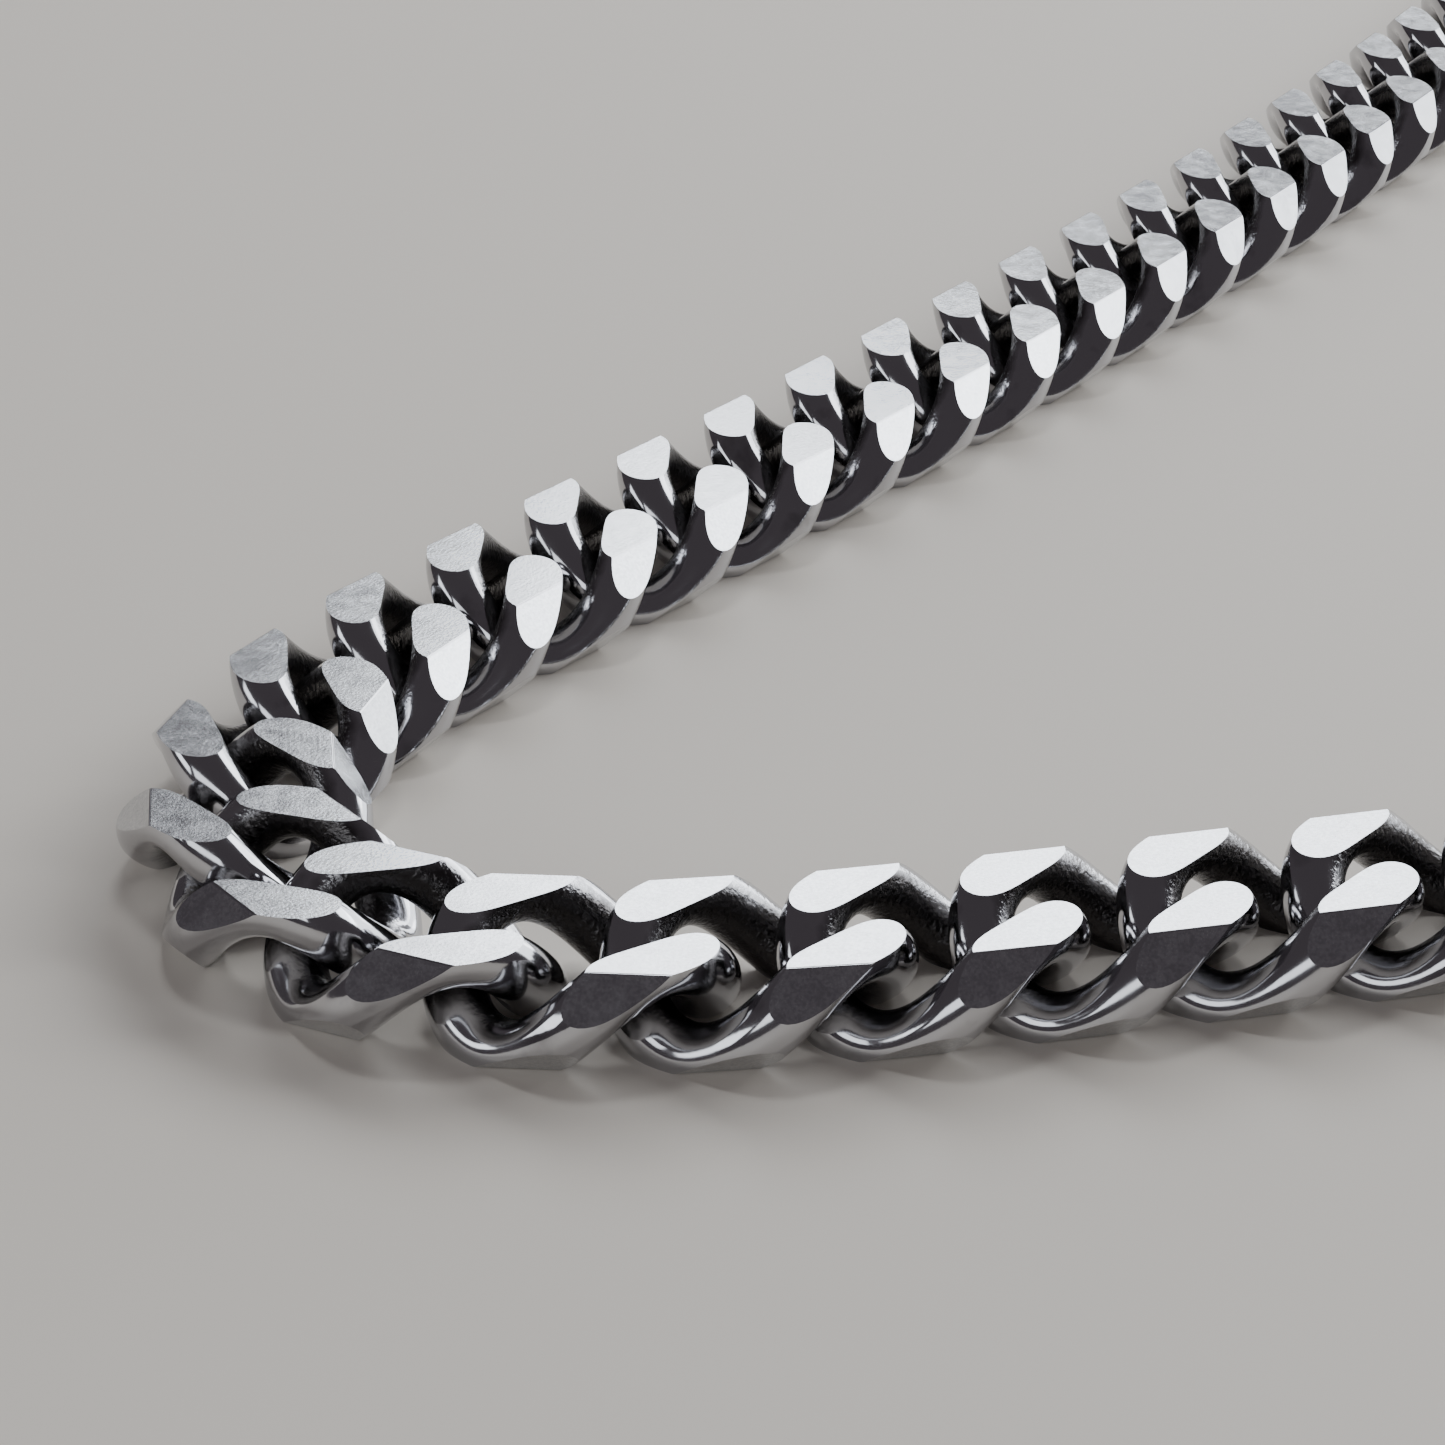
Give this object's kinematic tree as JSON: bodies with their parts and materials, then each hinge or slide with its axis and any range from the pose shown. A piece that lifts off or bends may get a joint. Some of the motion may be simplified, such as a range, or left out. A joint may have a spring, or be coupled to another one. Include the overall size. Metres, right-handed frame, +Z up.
{
  "type": "chain necklace",
  "caption": "Heavy curb chain necklace of twisted, six-sided ground wire links with a lobster clasp, laid open in a bend.",
  "frame": {"origin": "middle of one ground facet under the middle link, where it rests on the table", "axes": "+Z up from the table, +X from the bend towards the free end of the near run, +Y away from the viewer"},
  "size_m": [0.2285, 0.2591, 0.0061],
  "materials": {
    "polished_steel": "polished wire with satin ground facets",
    "rivet_steel": "satin",
    "spring_steel": "drawn wire"
  },
  "bodies": {
    "far_link_26": {"far_link_26": "polished_steel"},
    "far_link_25": {"far_link_25": "polished_steel"},
    "far_link_24": {"far_link_24": "polished_steel"},
    "far_link_23": {"far_link_23": "polished_steel"},
    "far_link_22": {"far_link_22": "polished_steel"},
    "far_link_21": {"far_link_21": "polished_steel"},
    "far_link_20": {"far_link_20": "polished_steel"},
    "far_link_19": {"far_link_19": "polished_steel"},
    "far_link_18": {"far_link_18": "polished_steel"},
    "far_link_17": {"far_link_17": "polished_steel"},
    "far_link_16": {"far_link_16": "polished_steel"},
    "far_link_15": {"far_link_15": "polished_steel"},
    "far_link_14": {"far_link_14": "polished_steel"},
    "far_link_13": {"far_link_13": "polished_steel"},
    "far_link_12": {"far_link_12": "polished_steel"},
    "far_link_11": {"far_link_11": "polished_steel"},
    "far_link_10": {"far_link_10": "polished_steel"},
    "far_link_9": {"far_link_9": "polished_steel"},
    "far_link_8": {"far_link_8": "polished_steel"},
    "far_link_7": {"far_link_7": "polished_steel"},
    "far_link_6": {"far_link_6": "polished_steel"},
    "far_link_5": {"far_link_5": "polished_steel"},
    "far_link_4": {"far_link_4": "polished_steel"},
    "far_link_3": {"far_link_3": "polished_steel"},
    "far_link_2": {"far_link_2": "polished_steel"},
    "far_link_1": {"far_link_1": "polished_steel"},
    "middle_link": {"middle_link": "polished_steel"},
    "near_link_1": {"near_link_1": "polished_steel"},
    "near_link_2": {"near_link_2": "polished_steel"},
    "near_link_3": {"near_link_3": "polished_steel"},
    "near_link_4": {"near_link_4": "polished_steel"},
    "near_link_5": {"near_link_5": "polished_steel"},
    "near_link_6": {"near_link_6": "polished_steel"},
    "near_link_7": {"near_link_7": "polished_steel"},
    "near_link_8": {"near_link_8": "polished_steel"},
    "near_link_9": {"near_link_9": "polished_steel"},
    "near_link_10": {"near_link_10": "polished_steel"},
    "near_link_11": {"near_link_11": "polished_steel"},
    "near_link_12": {"near_link_12": "polished_steel"},
    "near_link_13": {"near_link_13": "polished_steel"},
    "near_link_14": {"near_link_14": "polished_steel"},
    "near_link_15": {"near_link_15": "polished_steel"},
    "near_link_16": {"near_link_16": "polished_steel"},
    "near_link_17": {"near_link_17": "polished_steel"},
    "near_link_18": {"near_link_18": "polished_steel"},
    "near_link_19": {"near_link_19": "polished_steel"},
    "near_link_20": {"near_link_20": "polished_steel"},
    "near_link_21": {"near_link_21": "polished_steel"},
    "near_link_22": {"near_link_22": "polished_steel"},
    "near_link_23": {"near_link_23": "polished_steel"},
    "near_link_24": {"near_link_24": "polished_steel"},
    "near_link_25": {"near_link_25": "polished_steel"},
    "end_ring": {"end_ring": "polished_steel"},
    "clasp_ring": {"clasp_ring": "polished_steel"},
    "clasp": {"clasp_body": "polished_steel", "gate_rivet": "rivet_steel", "gate_spring": "spring_steel"},
    "gate": {"clasp_gate": "polished_steel"}
  },
  "joints": [
    {"name": "near_swing_1", "type": "hinge", "parent": "middle_link", "child": "near_link_1", "pos_m": [-0.00277, -0.00032, 0.00283], "axis": [0, 0, 1], "range_deg": [-62.23, 1.77]},
    {"name": "near_swing_2", "type": "hinge", "parent": "near_link_1", "child": "near_link_2", "pos_m": [0.00262, -0.00752, 0.00283], "axis": [0, 0, -1], "range_deg": [-3, 61]},
    {"name": "near_swing_3", "type": "hinge", "parent": "near_link_2", "child": "near_link_3", "pos_m": [0.01084, -0.01121, 0.00283], "axis": [0, 0, 1], "range_deg": [-52.69, 11.31]},
    {"name": "near_swing_4", "type": "hinge", "parent": "near_link_3", "child": "near_link_4", "pos_m": [0.01982, -0.01175, 0.00283], "axis": [0, 0, -1], "range_deg": [-20.99, 43.01]},
    {"name": "near_swing_5", "type": "hinge", "parent": "near_link_4", "child": "near_link_5", "pos_m": [0.02874, -0.01057, 0.00283], "axis": [0, 0, 1], "range_deg": [-36.44, 27.56]},
    {"name": "near_swing_6", "type": "hinge", "parent": "near_link_5", "child": "near_link_6", "pos_m": [0.03755, -0.00871, 0.00283], "axis": [0, 0, -1], "range_deg": [-30.53, 33.47]},
    {"name": "near_swing_7", "type": "hinge", "parent": "near_link_6", "child": "near_link_7", "pos_m": [0.0463, -0.00661, 0.00283], "axis": [0, 0, 1], "range_deg": [-32.52, 31.48]},
    {"name": "near_swing_8", "type": "hinge", "parent": "near_link_7", "child": "near_link_8", "pos_m": [0.05503, -0.00444, 0.00283], "axis": [0, 0, -1], "range_deg": [-31.69, 32.31]},
    {"name": "near_swing_9", "type": "hinge", "parent": "near_link_8", "child": "near_link_9", "pos_m": [0.06375, -0.00222, 0.00283], "axis": [0, 0, 1], "range_deg": [-32.27, 31.73]},
    {"name": "near_swing_10", "type": "hinge", "parent": "near_link_9", "child": "near_link_10", "pos_m": [0.07247, 0.00004, 0.00283], "axis": [0, 0, -1], "range_deg": [-31.73, 32.27]},
    {"name": "near_swing_11", "type": "hinge", "parent": "near_link_10", "child": "near_link_11", "pos_m": [0.08117, 0.00234, 0.00283], "axis": [0, 0, 1], "range_deg": [-32.27, 31.73]},
    {"name": "near_swing_12", "type": "hinge", "parent": "near_link_11", "child": "near_link_12", "pos_m": [0.08986, 0.00469, 0.00283], "axis": [0, 0, -1], "range_deg": [-31.73, 32.27]},
    {"name": "near_swing_13", "type": "hinge", "parent": "near_link_12", "child": "near_link_13", "pos_m": [0.09853, 0.00707, 0.00283], "axis": [0, 0, 1], "range_deg": [-32.27, 31.73]},
    {"name": "near_swing_14", "type": "hinge", "parent": "near_link_13", "child": "near_link_14", "pos_m": [0.1072, 0.0095, 0.00283], "axis": [0, 0, -1], "range_deg": [-31.73, 32.27]},
    {"name": "near_swing_15", "type": "hinge", "parent": "near_link_14", "child": "near_link_15", "pos_m": [0.11586, 0.01197, 0.00283], "axis": [0, 0, 1], "range_deg": [-32.27, 31.73]},
    {"name": "near_swing_16", "type": "hinge", "parent": "near_link_15", "child": "near_link_16", "pos_m": [0.1245, 0.01447, 0.00283], "axis": [0, 0, -1], "range_deg": [-31.73, 32.27]},
    {"name": "near_swing_17", "type": "hinge", "parent": "near_link_16", "child": "near_link_17", "pos_m": [0.13313, 0.01702, 0.00283], "axis": [0, 0, 1], "range_deg": [-32.27, 31.73]},
    {"name": "near_swing_18", "type": "hinge", "parent": "near_link_17", "child": "near_link_18", "pos_m": [0.14175, 0.01961, 0.00283], "axis": [0, 0, -1], "range_deg": [-31.73, 32.27]},
    {"name": "near_swing_19", "type": "hinge", "parent": "near_link_18", "child": "near_link_19", "pos_m": [0.15036, 0.02224, 0.00283], "axis": [0, 0, 1], "range_deg": [-32.27, 31.73]},
    {"name": "near_swing_20", "type": "hinge", "parent": "near_link_19", "child": "near_link_20", "pos_m": [0.15895, 0.02491, 0.00283], "axis": [0, 0, -1], "range_deg": [-31.73, 32.27]},
    {"name": "near_swing_21", "type": "hinge", "parent": "near_link_20", "child": "near_link_21", "pos_m": [0.16754, 0.02762, 0.00283], "axis": [0, 0, 1], "range_deg": [-32.27, 31.73]},
    {"name": "near_swing_22", "type": "hinge", "parent": "near_link_21", "child": "near_link_22", "pos_m": [0.17611, 0.03037, 0.00283], "axis": [0, 0, -1], "range_deg": [-31.73, 32.27]},
    {"name": "near_swing_23", "type": "hinge", "parent": "near_link_22", "child": "near_link_23", "pos_m": [0.18466, 0.03316, 0.00283], "axis": [0, 0, 1], "range_deg": [-32.27, 31.73]},
    {"name": "near_swing_24", "type": "hinge", "parent": "near_link_23", "child": "near_link_24", "pos_m": [0.1932, 0.03599, 0.00283], "axis": [0, 0, -1], "range_deg": [-31.73, 32.27]},
    {"name": "near_swing_25", "type": "hinge", "parent": "near_link_24", "child": "near_link_25", "pos_m": [0.20173, 0.03886, 0.00283], "axis": [0, 0, 1], "range_deg": [-32.27, 31.73]},
    {"name": "far_swing_1", "type": "hinge", "parent": "middle_link", "child": "far_link_1", "pos_m": [-0.00381, 0.00862, 0.00283], "axis": [0, 0, 1], "range_deg": [-8.9, 55.1]},
    {"name": "far_swing_2", "type": "hinge", "parent": "far_link_1", "child": "far_link_2", "pos_m": [-0.00125, 0.01725, 0.00283], "axis": [0, 0, -1], "range_deg": [-45.84, 18.16]},
    {"name": "far_swing_3", "type": "hinge", "parent": "far_link_2", "child": "far_link_3", "pos_m": [0.00329, 0.02502, 0.00283], "axis": [0, 0, 1], "range_deg": [-25.88, 38.12]},
    {"name": "far_swing_4", "type": "hinge", "parent": "far_link_3", "child": "far_link_4", "pos_m": [0.00864, 0.03226, 0.00283], "axis": [0, 0, -1], "range_deg": [-33.75, 30.25]},
    {"name": "far_swing_5", "type": "hinge", "parent": "far_link_4", "child": "far_link_5", "pos_m": [0.0142, 0.03933, 0.00283], "axis": [0, 0, 1], "range_deg": [-32.04, 31.96]},
    {"name": "far_swing_6", "type": "hinge", "parent": "far_link_5", "child": "far_link_6", "pos_m": [0.01976, 0.04641, 0.00283], "axis": [0, 0, -1], "range_deg": [-31.42, 32.58]},
    {"name": "far_swing_7", "type": "hinge", "parent": "far_link_6", "child": "far_link_7", "pos_m": [0.02525, 0.05354, 0.00283], "axis": [0, 0, 1], "range_deg": [-32.71, 31.29]},
    {"name": "far_swing_8", "type": "hinge", "parent": "far_link_7", "child": "far_link_8", "pos_m": [0.03065, 0.06074, 0.00283], "axis": [0, 0, -1], "range_deg": [-31.27, 32.73]},
    {"name": "far_swing_9", "type": "hinge", "parent": "far_link_8", "child": "far_link_9", "pos_m": [0.03596, 0.06801, 0.00283], "axis": [0, 0, 1], "range_deg": [-32.73, 31.27]},
    {"name": "far_swing_10", "type": "hinge", "parent": "far_link_9", "child": "far_link_10", "pos_m": [0.04117, 0.07534, 0.00283], "axis": [0, 0, -1], "range_deg": [-31.27, 32.73]},
    {"name": "far_swing_11", "type": "hinge", "parent": "far_link_10", "child": "far_link_11", "pos_m": [0.0463, 0.08274, 0.00283], "axis": [0, 0, 1], "range_deg": [-32.73, 31.27]},
    {"name": "far_swing_12", "type": "hinge", "parent": "far_link_11", "child": "far_link_12", "pos_m": [0.05132, 0.09021, 0.00283], "axis": [0, 0, -1], "range_deg": [-31.27, 32.73]},
    {"name": "far_swing_13", "type": "hinge", "parent": "far_link_12", "child": "far_link_13", "pos_m": [0.05625, 0.09774, 0.00283], "axis": [0, 0, 1], "range_deg": [-32.73, 31.27]},
    {"name": "far_swing_14", "type": "hinge", "parent": "far_link_13", "child": "far_link_14", "pos_m": [0.06109, 0.10533, 0.00283], "axis": [0, 0, -1], "range_deg": [-31.27, 32.73]},
    {"name": "far_swing_15", "type": "hinge", "parent": "far_link_14", "child": "far_link_15", "pos_m": [0.06582, 0.11298, 0.00283], "axis": [0, 0, 1], "range_deg": [-32.73, 31.27]},
    {"name": "far_swing_16", "type": "hinge", "parent": "far_link_15", "child": "far_link_16", "pos_m": [0.07046, 0.12069, 0.00283], "axis": [0, 0, -1], "range_deg": [-31.27, 32.73]},
    {"name": "far_swing_17", "type": "hinge", "parent": "far_link_16", "child": "far_link_17", "pos_m": [0.075, 0.12847, 0.00283], "axis": [0, 0, 1], "range_deg": [-32.73, 31.27]},
    {"name": "far_swing_18", "type": "hinge", "parent": "far_link_17", "child": "far_link_18", "pos_m": [0.07945, 0.13629, 0.00283], "axis": [0, 0, -1], "range_deg": [-31.27, 32.73]},
    {"name": "far_swing_19", "type": "hinge", "parent": "far_link_18", "child": "far_link_19", "pos_m": [0.08379, 0.14418, 0.00283], "axis": [0, 0, 1], "range_deg": [-32.73, 31.27]},
    {"name": "far_swing_20", "type": "hinge", "parent": "far_link_19", "child": "far_link_20", "pos_m": [0.08803, 0.15212, 0.00283], "axis": [0, 0, -1], "range_deg": [-31.27, 32.73]},
    {"name": "far_swing_21", "type": "hinge", "parent": "far_link_20", "child": "far_link_21", "pos_m": [0.09217, 0.16011, 0.00283], "axis": [0, 0, 1], "range_deg": [-32.73, 31.27]},
    {"name": "far_swing_22", "type": "hinge", "parent": "far_link_21", "child": "far_link_22", "pos_m": [0.0962, 0.16815, 0.00283], "axis": [0, 0, -1], "range_deg": [-31.27, 32.73]},
    {"name": "far_swing_23", "type": "hinge", "parent": "far_link_22", "child": "far_link_23", "pos_m": [0.10014, 0.17625, 0.00283], "axis": [0, 0, 1], "range_deg": [-32.73, 31.27]},
    {"name": "far_swing_24", "type": "hinge", "parent": "far_link_23", "child": "far_link_24", "pos_m": [0.10397, 0.18439, 0.00283], "axis": [0, 0, -1], "range_deg": [-31.27, 32.73]},
    {"name": "far_swing_25", "type": "hinge", "parent": "far_link_24", "child": "far_link_25", "pos_m": [0.10769, 0.19258, 0.00283], "axis": [0, 0, 1], "range_deg": [-32.73, 31.27]},
    {"name": "far_swing_26", "type": "hinge", "parent": "far_link_25", "child": "far_link_26", "pos_m": [0.11132, 0.20082, 0.00283], "axis": [0, 0, -1], "range_deg": [-31.27, 32.73]},
    {"name": "end_ring_swing", "type": "hinge", "parent": "near_link_25", "child": "end_ring", "pos_m": [0.21206, 0.04239, 0.00283], "axis": [0, 0, 1], "range_deg": [-20, 6]},
    {"name": "clasp_ring_swing", "type": "hinge", "parent": "far_link_26", "child": "clasp_ring", "pos_m": [0.11558, 0.21087, 0.00283], "axis": [0, 0, 1], "range_deg": [-20, 6]},
    {"name": "clasp_swing", "type": "hinge", "parent": "clasp_ring", "child": "clasp", "pos_m": [0.11797, 0.21612, 0.00309], "axis": [0, 0, -1], "range_deg": [-3, 20]},
    {"name": "gate_hinge", "type": "hinge", "parent": "clasp", "child": "gate", "pos_m": [0.12606, 0.22365, 0.00299], "axis": [0, 0, 1], "range_deg": [0, 28], "stiffness_Nm_per_rad": 0.002, "springref_deg": -22.92}
  ]
}
